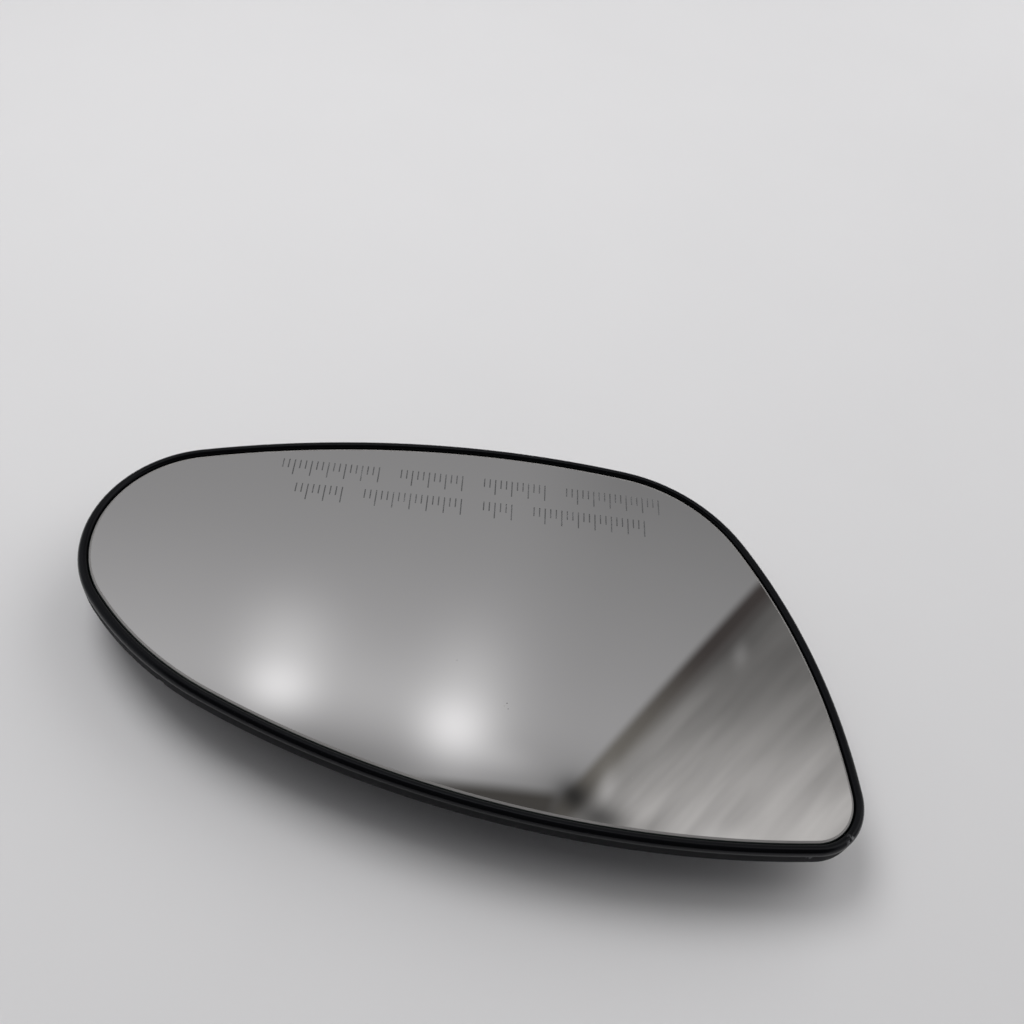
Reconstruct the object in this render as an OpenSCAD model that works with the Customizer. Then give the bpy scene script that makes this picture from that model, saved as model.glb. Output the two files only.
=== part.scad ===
// Convex glass of a car door mirror, bonded to a moulded backing plate that snaps onto a round drive head.
// The part lies face up: +X runs to the wide end, +Y to the far long side, +Z out of the glass.
// The origin is the centre of the claw ring, at the middle of its retaining bead.

/* [Outline of the glass] */
// Centre of the sharp corner at the wide end, along X
sharp_x = 76.6; // [72:0.2:80]
// Centre of the sharp corner at the wide end, along Y
sharp_y = -33.2; // [-36:0.2:-31]
// Radius of the sharp corner
sharp_r = 10.9; // [9.5:0.1:14]
// Centre of the shoulder on the far side, along X
shoulder_x = 34.3; // [31:0.2:38]
// Centre of the shoulder on the far side, along Y
shoulder_y = 9.4; // [6:0.2:12]
// Radius of the shoulder
shoulder_r = 38.8; // [35:0.2:41]
// Centre of the rounded nose, along X
nose_x = -61.7; // [-66:0.2:-58]
// Centre of the rounded nose, along Y
nose_y = 15.3; // [13.6:0.1:17]
// Radius of the nose
nose_r = 26; // [24.4:0.1:27.2]
// Bearing at which the nose runs on into the flatter chin
chin_bearing = 220.6; // [215:0.2:227]
// Radius of the chin
chin_r = 84; // [62:1:110]
// Radius of the bowed side at the wide end
end_side_r = 139.5; // [115:0.5:180]
// Radius of the bowed far side
far_side_r = 292; // [230:1:380]
// Radius of the bowed near side
near_side_r = 247; // [210:1:300]

/* [Glass and bonding] */
// Radius of the convex front face
dome_r = 1400; // [900:10:2500]
// Thickness of the glass
glass_t = 1.9; // [1.6:0.1:3]
// Width of the ground seam on the front edge of the glass
seam_w = 0.55; // [0.1:0.05:0.8]
// Depth of the ground seam
seam_h = 0.4; // [0.1:0.05:0.8]
// Thickness of the heating film on the back of the glass
film_t = 0.2; // [0.1:0.05:0.5]
// Distance from the edge of the glass to the edge of the film
film_inset = 4; // [2:0.5:10]
// Thickness of the adhesive foam pad
pad_t = 0.5; // [0.3:0.1:1.5]
// Distance from the edge of the glass to the edge of the pad
pad_inset = 2; // [1:0.5:8]
// Thickness of each bond line between the glass, the film, the pad and the plate
bond_t = 0.05; // [0.02:0.01:0.1]

/* [Rolled rim] */
// Clearance between the edge of the glass and the rim
edge_gap = 0.25; // [0.1:0.05:0.5]
// Width of the rim outside the edge of the glass
rim_w = 2.35; // [2:0.05:4]
// Distance from the edge of the glass to the crest of the rim
crest_d = 1.1; // [0.8:0.05:1.4]
// Height of the crest above the glass
crest_h = 0.7; // [0.3:0.05:1.2]
// Depth below the glass at which the lip meets the edge of the glass
lip_drop = 0.1; // [0:0.05:0.4]
// Depth below the glass at which the shoulder of the rim turns into its skirt
shoulder_drop = 0.75; // [0.4:0.05:1.5]
// Depth of the skirt below the glass
skirt_h = 4.5; // [4.2:0.1:8]
// Thickness of the skirt at its foot
skirt_t = 1.2; // [0.9:0.05:1.6]
// Rounding of the outer edge of the foot
foot_r = 0.3; // [0.1:0.05:0.5]

/* [Nick in the skirt] */
// Bearing along the chin of the nick in the foot of the skirt
nick_bearing = 238; // [226:0.5:244]
// Width of the nick along the skirt
nick_w = 1.9; // [0.5:0.1:4]
// Height of the nick above the foot
nick_h = 0.9; // [0.3:0.1:2]

/* [Backing plate] */
// Wall of the dished plate
plate_t = 1.4; // [1.2:0.1:3]
// Thickness of each rib
rib_t = 1.3; // [0.8:0.1:2.5]
// Height of the ribs below the plate
rib_h = 3; // [1.5:0.1:5]
// Number of spoke ribs
spoke_count = 12; // [6:1:18]
// Distance from the edge of the glass to the rib that follows it
border_inset = 7.5; // [4:0.5:8.5]
// Outer radius of the round rib inside the claw ring
core_rib_r = 13; // [8:0.5:20]

/* [Claw ring] */
// Radius inside the wall of the claw ring
ring_r = 31; // [26:0.5:36]
// Wall of the claw ring
ring_t = 2; // [1.5:0.1:3]
// Fillets at the root of the claw ring
root_r = 1; // [0.4:0.1:1.5]
// Height of the front of the glass above the ends of the claws
stand_h = 20; // [16:0.5:28]
// Number of claws
claw_count = 8; // [6:1:10]
// Height of the slots between the claws
slot_h = 11; // [6:0.5:12]
// Width of the slots between the claws
slot_w = 3; // [1.5:0.1:5]
// Width of the one slot that keys the glass to its drive head
key_slot_w = 7; // [4:0.5:9]
// How far the retaining bead of each claw stands inward
bead_in = 0.8; // [0.4:0.1:1.5]
// Height of the flat land on the bead
bead_land = 1.2; // [0.8:0.1:2.5]
// Height of the lead-in below the land
lead_in = 1; // [0.6:0.1:2]

/* [Heater terminals] */
// Place of the pair of terminals, along X
term_x = 49; // [45:0.5:52]
// Place of the middle of the pair, along Y
term_y = -4; // [-8:0.5:4]
// Distance between the two blades
term_pitch = 18; // [16:0.5:24]
// Width of a blade
blade_w = 6.3; // [4.8:0.1:6.3]
// Thickness of the sheet of a terminal
blade_t = 0.8; // [0.5:0.1:1]
// Length of a blade below the film
blade_l = 11; // [8:0.5:13]
// Length of the foot that lies on the film
foot_l = 8; // [7:0.1:9]
// Radius of a rivet's shank
rivet_r = 0.9; // [0.6:0.05:1.2]
// Height of a rivet's head
rivet_head_h = 0.5; // [0.3:0.1:0.8]
// Clearance round a rivet and under a foot
fit_gap = 0.05; // [0.02:0.01:0.15]
// Clearance between a terminal and its window
window_gap = 1.6; // [1:0.1:2.5]

/* [Hidden] */

plastic_colour = [0.08, 0.08, 0.09];
glass_colour = [0.62, 0.63, 0.65];
film_colour = [0.72, 0.62, 0.38];
pad_colour = [0.25, 0.25, 0.27];
terminal_colour = [0.80, 0.68, 0.35];
rivet_colour = [0.75, 0.75, 0.77];

// Depths below the front of the glass
glass_back = -glass_t;
film_front = glass_back - bond_t;
film_back = film_front - film_t;
pad_front = film_back - bond_t;
pad_back = pad_front - pad_t;
plate_front = pad_back - bond_t;
plate_back = plate_front - plate_t;
rib_back = plate_back - rib_h;

// Heights over the middle of the retaining bead
claw_z = -lead_in - bead_land / 2;
apex_z = claw_z + stand_h;

// How deep one moulded feature is sunk into the next, so that they are one piece
weld = 0.3;
// How far the plate runs into the rim
plate_bite = 0.7;
// Reach beyond every wall for a cut, and for stock that is cut to the dome
over = 5;
round_fn = 96;
dome_fn = 256;
// Steps of the outline: largest turn in degrees and largest length
turn_step = 4;
length_step = 3;
lip_steps = 3;
shoulder_steps = 6;
foot_steps = 3;
root_steps = 3;

function bearing_to(from, to) = atan2(to.y - from.y, to.x - from.x);
function direction(a) = [cos(a), sin(a)];
function turn(from, to) = (to - from + 360) % 360;

// A bowed side touches the circles a and b from outside, which fixes its centre
function side_centre(a, a_r, b, b_r, r) =
    let (
        along = (b - a) / norm(b - a),
        reach = r - a_r,
        run = (reach * reach - pow(r - b_r, 2) + pow(norm(b - a), 2)) / (2 * norm(b - a))
    )
    a + along * run + [-along.y, along.x] * sqrt(reach * reach - run * run);

sharp = [sharp_x, sharp_y];
shoulder = [shoulder_x, shoulder_y];
nose = [nose_x, nose_y];
chin = nose - (chin_r - nose_r) * direction(chin_bearing);
end_side = side_centre(sharp, sharp_r, shoulder, shoulder_r, end_side_r);
far_side = side_centre(shoulder, shoulder_r, nose, nose_r, far_side_r);
near_side = side_centre(chin, chin_r, sharp, sharp_r, near_side_r);

// The outline as a closed chain of arcs, each [centre, radius, bearing where it starts]
arcs = [[sharp, sharp_r, bearing_to(near_side, sharp)],
        [end_side, end_side_r, bearing_to(end_side, sharp)],
        [shoulder, shoulder_r, bearing_to(end_side, shoulder)],
        [far_side, far_side_r, bearing_to(far_side, shoulder)],
        [nose, nose_r, bearing_to(far_side, nose)],
        [chin, chin_r, chin_bearing],
        [near_side, near_side_r, bearing_to(near_side, chin)]];

// Stations along the outline, each [centre, radius, bearing of its normal]
stations = [for (i = [0 : len(arcs) - 1])
    let (
        arc = arcs[i],
        sweep = turn(arc[2], arcs[(i + 1) % len(arcs)][2]),
        steps = ceil(max(sweep / turn_step, sweep * PI / 180 * arc[1] / length_step))
    )
    for (k = [0 : steps - 1]) [arc[0], arc[1], arc[2] + sweep * k / steps]];
station_count = len(stations);

function station_point(s, d) = s[0] + (s[1] + d) * direction(s[2]);
function outline(d) = [for (s = stations) station_point(s, d)];

// Height of the dome that lies h outside the front of the glass, over a point of the plan
function dome_z(p, h) = apex_z - dome_r + sqrt(pow(dome_r + h, 2) - p * p);

// Outward profile of the rolled rim as [distance from the glass edge, height over the glass]
lip_r = [crest_d - edge_gap, crest_h + lip_drop];
shoulder_r2 = [rim_w - crest_d, crest_h + shoulder_drop];
rim_profile = concat(
    [for (k = [0 : lip_steps - 1]) let (a = 180 - 90 * k / lip_steps)
        [crest_d + lip_r.x * cos(a), -lip_drop + lip_r.y * sin(a)]],
    [for (k = [0 : shoulder_steps]) let (a = 90 - 90 * k / shoulder_steps)
        [crest_d + shoulder_r2.x * cos(a), -shoulder_drop + shoulder_r2.y * sin(a)]],
    [for (k = [0 : foot_steps]) let (a = -90 * k / foot_steps)
        [rim_w - foot_r + foot_r * cos(a), -skirt_h + foot_r + foot_r * sin(a)]],
    [[rim_w - skirt_t, -skirt_h],
     [edge_gap, plate_front - plate_t / 2]]);

// The profile swept once round the outline, following the dome
module swept_ring(profile) {
    count = len(profile);
    points = [for (s = stations) for (q = profile)
        let (p = station_point(s, q[0])) [p.x, p.y, dome_z(p, q[1])]];
    faces = [for (i = [0 : station_count - 1]) for (j = [0 : count - 1])
        let (
            here = i * count,
            next = ((i + 1) % station_count) * count,
            up = (j + 1) % count
        )
        each [[here + j, next + j, next + up], [here + j, next + up, here + up]]];
    polyhedron(points = points, faces = faces, convexity = 6);
}

// A closed body whose side follows the outline: each row is [distance from the glass edge, heights by station]
module outline_body(rows) {
    points = [for (row = rows) each row];
    last = (len(rows) - 1) * station_count;
    walls = [for (r = [0 : len(rows) - 2]) for (i = [0 : station_count - 1])
        let (
            low = r * station_count,
            high = low + station_count,
            next = (i + 1) % station_count
        )
        each [[low + i, high + i, high + next], [low + i, high + next, low + next]]];
    bottom = [for (i = [0 : station_count - 1]) i];
    top = [for (i = [0 : station_count - 1]) last + station_count - 1 - i];
    polyhedron(points = points, faces = concat([bottom], [top], walls), convexity = 4);
}

module dome(h) {
    translate([0, 0, apex_z - dome_r])
        rotate([90, 0, 0])
            sphere(r = dome_r + h, $fn = dome_fn);
}

// Keeps what lies between two depths below the front of the glass
module dome_layer(front, back) {
    difference() {
        intersection() {
            children();
            dome(front);
        }
        dome(back);
    }
}

// A plate cut to the outline at distance d from the glass edge, between two depths
module curved_plate(d, front, back) {
    dome_layer(front, back)
        linear_extrude(height = apex_z + over)
            polygon(outline(d));
}

// Puts children on the dome over a point of the plan, with +Z along the dome's normal
module on_dome(p, h) {
    bearing = atan2(p.y, p.x);
    lean = asin(norm(p) / (dome_r + h));
    translate([p.x, p.y, dome_z(p, h)])
        rotate([0, 0, bearing])
            rotate([0, lean, 0])
                rotate([0, 0, -bearing])
                    children();
}

term_places = [[term_x, term_y - term_pitch / 2], [term_x, term_y + term_pitch / 2]];
// The foot lies to the wide end of its blade, and the rivet goes through its middle
foot_middle = [foot_l / 2 - blade_t / 2, 0];
window_size = [foot_l + 2 * window_gap, blade_w + 2 * window_gap];
rivet_hole_r = rivet_r + fit_gap;
rivet_head_r = 1.8 * rivet_r;

// A window through the plate and the pad round each terminal
module terminal_windows() {
    for (p = term_places)
        translate([each p + foot_middle, apex_z])
            cube([each window_size, 2 * stand_h], center = true);
}

module window_frames_plan() {
    for (p = term_places)
        translate(p + foot_middle)
            square(window_size + 2 * [rib_t, rib_t], center = true);
}

// Spokes from the ring to the rib that follows the edge
module ribs_plan() {
    intersection() {
        for (i = [0 : spoke_count - 1])
            rotate(360 * (i + 0.5) / spoke_count)
                translate([ring_r + ring_t / 2, -rib_t / 2])
                    square([nose_r - nose_x, rib_t]);
        polygon(outline(-border_inset - rib_t / 2));
    }
    difference() {
        polygon(outline(-border_inset));
        polygon(outline(-border_inset - rib_t));
    }
    window_frames_plan();
}

module core_ribs_plan() {
    difference() {
        circle(r = core_rib_r, $fn = round_fn);
        circle(r = core_rib_r - rib_t, $fn = round_fn);
    }
    for (i = [0 : 3])
        rotate(90 * i + 45)
            translate([core_rib_r - rib_t / 2, -rib_t / 2])
                square([ring_r + ring_t / 2 - core_rib_r + rib_t / 2, rib_t]);
}

// Ribs stand on the back of the plate and follow its curve
module ribs() {
    dome_layer(plate_back + weld, rib_back)
        linear_extrude(height = apex_z)
            ribs_plan();
    dome_layer(plate_back + weld, plate_back - rib_h / 2)
        linear_extrude(height = apex_z)
            core_ribs_plan();
}

// A fillet's quarter turn, as points round its centre
function fillet(centre, start) =
    [for (k = [0 : root_steps]) centre + root_r * direction(start - 90 * k / root_steps)];

// Ring of claws with a retaining bead round its mouth
module claw_ring() {
    outer_r = ring_r + ring_t;
    outer_root = [outer_r + root_r, dome_z([outer_r + root_r, 0], plate_back)];
    inner_root = [ring_r - root_r, dome_z([ring_r - root_r, 0], plate_back)];
    land_z = bead_land / 2;
    difference() {
        rotate_extrude($fn = round_fn)
            polygon(concat(
                [[outer_r, claw_z]],
                fillet(outer_root - [0, root_r], 180),
                [outer_root + [0, weld], inner_root + [0, weld]],
                fillet(inner_root - [0, root_r], 90),
                [[ring_r, land_z + bead_in], [ring_r - bead_in, land_z],
                 [ring_r - bead_in, -land_z], [ring_r, claw_z]]
            ));
        for (i = [0 : claw_count - 1])
            let (w = i == 0 ? key_slot_w : slot_w)
                rotate([0, 0, 360 * i / claw_count])
                    translate([ring_r - 2 * bead_in, -w / 2, claw_z - over])
                        cube([ring_t + 3 * bead_in, w, slot_h + over]);
    }
}

// A shallow nick broken out of the foot of the skirt
module skirt_nick() {
    foot = chin + (chin_r + rim_w - skirt_t / 2) * direction(nick_bearing);
    translate([foot.x, foot.y, dome_z(foot, -skirt_h)])
        rotate([0, 0, nick_bearing])
            cube([2 * skirt_t, nick_w, 2 * nick_h], center = true);
}

module mirror_glass() {
    color(glass_colour)
        dome_layer(0, glass_back)
            outline_body([
                [for (s = stations) let (p = station_point(s, 0)) [p.x, p.y, 0]],
                [for (s = stations) let (p = station_point(s, 0)) [p.x, p.y, dome_z(p, -seam_h)]],
                [for (s = stations) let (p = station_point(s, -2 * seam_w)) [p.x, p.y, dome_z(p, seam_h)]],
                [for (s = stations) let (p = station_point(s, -2 * seam_w)) [p.x, p.y, apex_z + over]]
            ]);
}

module heater_film() {
    color(film_colour)
        difference() {
            curved_plate(-film_inset, film_front, film_back);
            rivet_holes();
        }
}

module rivet_holes() {
    for (p = term_places)
        on_dome(p + foot_middle, film_back)
            translate([0, 0, -over])
                cylinder(r = rivet_hole_r, h = 2 * over, $fn = round_fn);
}

module adhesive_pad() {
    color(pad_colour)
        difference() {
            curved_plate(-pad_inset, pad_front, pad_back);
            terminal_windows();
        }
}

module backing_plate() {
    color(plastic_colour)
        difference() {
            union() {
                swept_ring(rim_profile);
                curved_plate(edge_gap + plate_bite, plate_front, plate_back);
                ribs();
                claw_ring();
            }
            terminal_windows();
            skirt_nick();
        }
}

// A bent tab: its foot lies on the film and its blade points away from the glass
module heater_terminal(p) {
    color(terminal_colour)
        difference() {
            on_dome(p + foot_middle, film_back - fit_gap)
                translate([-foot_l / 2, 0, 0]) {
                    translate([0, -blade_w / 2, -blade_t])
                        cube([foot_l, blade_w, blade_t]);
                    rotate([90, 0, 90])
                        linear_extrude(height = blade_t)
                            polygon([[-blade_w / 2, 0], [blade_w / 2, 0],
                                     [blade_w / 2, -blade_l + blade_t],
                                     [blade_w / 2 - blade_t, -blade_l],
                                     [-blade_w / 2 + blade_t, -blade_l],
                                     [-blade_w / 2, -blade_l + blade_t]]);
                }
            rivet_holes();
        }
}

module terminal_rivets() {
    color(rivet_colour)
        for (p = term_places)
            on_dome(p + foot_middle, film_back - fit_gap - blade_t) {
                cylinder(r = rivet_r, h = fit_gap + blade_t + film_t, $fn = round_fn);
                translate([0, 0, -rivet_head_h])
                    cylinder(r = rivet_head_r, h = rivet_head_h, $fn = round_fn);
            }
}

mirror_glass();
heater_film();
adhesive_pad();
backing_plate();
heater_terminal(term_places[0]);  // heater_terminal_near
heater_terminal(term_places[1]);  // heater_terminal_far
terminal_rivets();
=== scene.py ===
"""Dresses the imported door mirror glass: polished glass, moulded plate, heater parts and a plain studio."""

import math

import bmesh
import bpy
from bpy.props import FloatProperty, FloatVectorProperty, IntProperty, PointerProperty
from mathutils import Matrix, Vector, noise


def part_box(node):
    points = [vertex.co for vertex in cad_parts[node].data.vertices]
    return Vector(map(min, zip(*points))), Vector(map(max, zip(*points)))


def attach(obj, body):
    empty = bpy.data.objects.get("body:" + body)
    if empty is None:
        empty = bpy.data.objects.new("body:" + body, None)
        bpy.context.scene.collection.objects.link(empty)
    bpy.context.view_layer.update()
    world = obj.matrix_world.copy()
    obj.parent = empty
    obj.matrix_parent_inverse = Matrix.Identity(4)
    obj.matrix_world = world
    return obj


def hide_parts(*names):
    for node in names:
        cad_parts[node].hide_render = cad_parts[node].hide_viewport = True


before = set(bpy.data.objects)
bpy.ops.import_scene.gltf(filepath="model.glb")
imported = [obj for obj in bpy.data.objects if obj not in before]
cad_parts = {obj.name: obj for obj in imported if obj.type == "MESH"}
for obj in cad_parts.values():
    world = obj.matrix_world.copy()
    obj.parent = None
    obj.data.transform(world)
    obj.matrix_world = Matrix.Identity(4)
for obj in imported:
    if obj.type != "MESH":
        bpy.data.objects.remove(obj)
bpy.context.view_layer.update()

bl_info = {
    "name": "Door mirror glass",
    "version": (1, 0, 0),
    "blender": (4, 5, 0),
    "location": "3D Viewport > Sidebar > Door mirror",
    "description": "Finishes a convex door mirror glass and its backing plate, and sets a studio round it",
    "category": "Object",
}

MM = 0.001
BODY = "root"
# Height of the top of the convex glass over the origin, which is the middle of the retaining bead
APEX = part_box("mirror_glass")[1].z
FLOOR_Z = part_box("backing_plate")[0].z


def length(name, description, default):
    """A size in metres, given here in millimetres."""
    return FloatProperty(name=name, description=description, default=default * MM, unit="LENGTH", precision=5)


def place(name, description, default, size=2):
    """A place in metres, given here in millimetres."""
    metres = [v * MM for v in default]
    return FloatVectorProperty(
        name=name, description=description, size=size, default=metres, unit="LENGTH", precision=5
    )


def colour(name, description, default):
    return FloatVectorProperty(
        name=name, description=description, size=3, default=default, subtype="COLOR", min=0.0, max=1.0
    )


def share(name, description, default):
    return FloatProperty(
        name=name, description=description, default=default, min=0.0, max=1.0, subtype="FACTOR"
    )


class GlassSizes(bpy.types.PropertyGroup):
    """Sizes of the glass, as the construction has them"""

    sharp: place("Sharp corner", "Centre of the sharp corner at the wide end", (76.6, -33.2))
    sharp_r: length("Sharp radius", "Radius of the sharp corner", 10.9)
    shoulder: place("Shoulder", "Centre of the shoulder on the far side", (34.3, 9.4))
    shoulder_r: length("Shoulder radius", "Radius of the shoulder", 38.8)
    nose: place("Nose", "Centre of the rounded nose", (-61.7, 15.3))
    nose_r: length("Nose radius", "Radius of the nose", 26)
    chin_bearing: FloatProperty(
        name="Chin bearing",
        description="Bearing at which the nose runs on into the flatter chin",
        default=math.radians(220.6),
        subtype="ANGLE",
    )
    chin_r: length("Chin radius", "Radius of the chin", 84)
    end_side_r: length("End side radius", "Radius of the bowed side at the wide end", 139.5)
    far_side_r: length("Far side radius", "Radius of the bowed far side", 292)
    near_side_r: length("Near side radius", "Radius of the bowed near side", 247)
    dome_r: length("Dome radius", "Radius of the convex front face", 1400)
    thickness: length("Thickness", "Thickness of the glass", 1.9)
    seam: length("Seam", "Width of the ground seam round the front", 0.65)
    seam_depth: length("Seam depth", "Depth of the ground seam", 0.4)
    step: length("Step", "Largest step along the outline", 1.1)
    turn: FloatProperty(
        name="Turn",
        description="Largest turn of the outline at one step",
        default=math.radians(1.5),
        subtype="ANGLE",
    )
    rings: IntProperty(
        name="Rings", description="Rings of the mesh from the edge to the middle", default=40, min=4
    )


class GlassLooks(bpy.types.PropertyGroup):
    """Finish of the glass"""

    mirror: colour("Mirror", "Colour that the coated glass reflects", (0.635, 0.625, 0.63))
    ground: colour("Ground seam", "Colour of the seam ground round the front", (0.31, 0.3, 0.295))
    cut: colour("Cut edge", "Colour of the cut edge of the glass under the seam", (0.05, 0.06, 0.058))
    back: colour("Back coat", "Colour of the protective coat on the back", (0.09, 0.085, 0.08))
    etched: colour("Etched marks", "Colour of the marks etched through the coating", (0.075, 0.075, 0.077))
    dust: colour("Dust", "Colour of dust", (0.5, 0.48, 0.45))
    smudge: share("Smudges", "Roughness that smudges add to the glass", 0.03)


class EtchSizes(bpy.types.PropertyGroup):
    """Two rows of fine graduation marks etched near the far side"""

    top_y: length("First row", "Place of the far end of the first row's marks, along Y", 42)
    row_step: length("Row step", "Distance between the two rows", 7.55)
    high: length("Long mark", "Length of a long mark", 5)
    short: length("Short mark", "Length of a short mark", 2.8)
    stroke: length("Stroke", "Width of a mark", 0.3)
    pitch: length("Pitch", "Distance between long marks", 4.22)
    proud: length("Relief", "Height of a mark's burr over the glass", 0.012)


class PlasticLooks(bpy.types.PropertyGroup):
    """Finish of the moulded backing plate"""

    black: colour("Black", "Colour of the moulded plastic", (0.0022, 0.0023, 0.0027))
    worn: colour("Worn edge", "Colour of rubbed edges", (0.02, 0.021, 0.023))
    scuffed: colour("Scuffed edge", "Colour of scuffs at the lower edge", (0.24, 0.24, 0.25))
    rough: share("Roughness", "Roughness of the plastic", 0.18)
    side_rough: share("Side roughness", "Roughness of the duller sides and back", 0.75)
    grain: length("Grain", "Height of the moulded grain", 0.03)


class HeaterLooks(bpy.types.PropertyGroup):
    """Finish of the heating film, its pad, terminals and rivets"""

    film: colour("Film", "Colour of the heating film", (0.42, 0.23, 0.1))
    trace: colour("Trace", "Colour of the printed heating trace", (0.22, 0.21, 0.2))
    foam: colour("Foam", "Colour of the adhesive foam", (0.035, 0.035, 0.038))
    brass: colour("Terminal", "Colour of the plated terminals", (0.76, 0.66, 0.42))
    steel: colour("Rivet", "Colour of the rivets", (0.6, 0.6, 0.61))


class StageLooks(bpy.types.PropertyGroup):
    """Camera, floor and light"""

    camera: place("Camera", "Place of the camera from the top of the glass", (-6.95, -117.75, 192.52), 3)
    aim: place("Aim", "Point that the camera looks at, from the top of the glass", (9.81, 31.8, 0), 3)
    roll: FloatProperty(
        name="Roll",
        description="Turn of the camera about its line of sight",
        default=math.radians(11.33),
        subtype="ANGLE",
    )
    lens: FloatProperty(name="Lens", description="Focal length in millimetres", default=34.63)
    floor: colour("Floor", "Colour of the floor and the cove", (0.74, 0.735, 0.745))
    floor_r: length("Floor radius", "Radius of the flat floor", 1300)
    cove_h: length("Cove height", "Height of the cove round the floor", 700)
    light: FloatProperty(name="Light", description="Strength of the soft lights", default=1.0, min=0.0)
    surround: colour("Surround", "Colour of the room beside and behind the part", (0.43, 0.435, 0.455))
    roof_window: FloatProperty(
        name="Roof window", description="Brightness of the roof window", default=1.7, min=0.0
    )
    room: FloatProperty(name="Room light", description="Strength of the room's light", default=1.0, min=0.0)


class MirrorPart(bpy.types.PropertyGroup):
    """Everything that can be set on the part"""

    glass: PointerProperty(type=GlassSizes)
    glass_looks: PointerProperty(type=GlassLooks)
    etch: PointerProperty(type=EtchSizes)
    plastic: PointerProperty(type=PlasticLooks)
    heater: PointerProperty(type=HeaterLooks)
    stage: PointerProperty(type=StageLooks)


# Node trees


def connect(tree, socket, value):
    """Links the socket to another one, or sets it to a plain value."""
    if isinstance(value, bpy.types.NodeSocket):
        tree.links.new(value, socket)
    else:
        socket.default_value = value


def add(tree, kind, inputs=None, **settings):
    """A node with its settings made and its inputs linked or set."""
    made = tree.nodes.new(kind)
    for key, value in settings.items():
        setattr(made, key, value)
    for key, value in (inputs or {}).items():
        connect(tree, made.inputs[key], value)
    return made


def reckon(tree, operation, first, second=0.0, third=0.0, clamp=False):
    """The output of a Math node."""
    inputs = {0: first, 1: second, 2: third}
    return add(tree, "ShaderNodeMath", inputs, operation=operation, use_clamp=clamp).outputs[0]


def smooth_step(tree, value, low, high):
    """0 below low, 1 above high and a smooth rise between them."""
    inputs = {"Value": value, "From Min": low, "From Max": high}
    made = add(tree, "ShaderNodeMapRange", inputs, interpolation_type="SMOOTHSTEP")
    return made.outputs["Result"]


# Places of a colour Mix node's sockets: its share and its two colours, and the colour it gives
MIX_INPUTS = (0, 6, 7)
MIX_RESULT = 2


def blend(tree, share_of, first, second, kind="MIX"):
    """The colour of a Mix node."""
    made = add(tree, "ShaderNodeMix", data_type="RGBA", blend_type=kind)
    for index, value in zip(MIX_INPUTS, (share_of, first, second)):
        connect(tree, made.inputs[index], value)
    return made.outputs[MIX_RESULT]


def clouds(tree, where, scale, detail, distortion=0.0):
    """The value of a Noise texture, about 0.5 on average."""
    inputs = {"Vector": where, "Scale": scale, "Detail": detail, "Distortion": distortion}
    return add(tree, "ShaderNodeTexNoise", inputs).outputs["Fac"]


def opaque(rgb):
    return (*rgb, 1.0)


def shaded(rgb, factor):
    """The colour made lighter or darker by a factor."""
    return opaque([min(1.0, factor * v) for v in rgb])


def shader_group(name, inputs, outputs, build):
    """A shader node group, made once: inputs and outputs are [(name, socket type, default)]."""
    found = bpy.data.node_groups.get(name)
    if found:
        return found
    tree = bpy.data.node_groups.new(name, "ShaderNodeTree")
    for in_out, sockets in (("INPUT", inputs), ("OUTPUT", outputs)):
        for label, kind, default in sockets:
            socket = tree.interface.new_socket(label, in_out=in_out, socket_type=kind)
            if default is not None:
                socket.default_value = default
    entry = tree.nodes.new("NodeGroupInput")
    leave = tree.nodes.new("NodeGroupOutput")
    for label, value in build(tree, entry.outputs).items():
        tree.links.new(value, leave.inputs[label])
    return tree


# Scale of the grain's slow part against its fine part, and the fine part's share of the height
SLOW_GRAIN = 0.06
FINE_SHARE = 0.6


def grain_group():
    """Fine moulded or ground grain: a height to bump and a tint that varies slowly."""

    def build(tree, given):
        fine = clouds(tree, given["Vector"], given["Scale"], 3.0)
        slow_scale = reckon(tree, "MULTIPLY", given["Scale"], SLOW_GRAIN)
        slow = clouds(tree, given["Vector"], slow_scale, 2.0)
        slow_part = reckon(tree, "MULTIPLY", slow, 1 - FINE_SHARE)
        height = reckon(tree, "MULTIPLY_ADD", fine, FINE_SHARE, slow_part)
        return {"Height": height, "Tint": slow}

    inputs = [("Vector", "NodeSocketVector", None), ("Scale", "NodeSocketFloat", 1500.0)]
    outputs = [("Height", "NodeSocketFloat", None), ("Tint", "NodeSocketFloat", None)]
    return shader_group("fine_grain", inputs, outputs, build)


# Pointiness from which an edge is rubbed, and the noise that breaks the rubbing up
RUBBED = (0.54, 0.66)
RUBBED_PATCHES = (0.42, 0.62)


def wear_group():
    """Rubbed edges: a mask over sharp outward edges, broken up by noise."""

    def build(tree, given):
        edge = add(tree, "ShaderNodeNewGeometry").outputs["Pointiness"]
        raised = smooth_step(tree, edge, *RUBBED)
        broken = smooth_step(tree, clouds(tree, given["Vector"], given["Scale"], 4.0), *RUBBED_PATCHES)
        mask = reckon(tree, "MULTIPLY", reckon(tree, "MULTIPLY", raised, broken), given["Amount"], clamp=True)
        return {"Mask": mask}

    inputs = [
        ("Vector", "NodeSocketVector", None),
        ("Scale", "NodeSocketFloat", 300.0),
        ("Amount", "NodeSocketFloat", 0.5),
    ]
    return shader_group("edge_wear", inputs, [("Mask", "NodeSocketFloat", None)], build)


# Soft edge of a dust speck, as distances in its cell
SPECK_EDGE = (0.1, 0.04)


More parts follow.
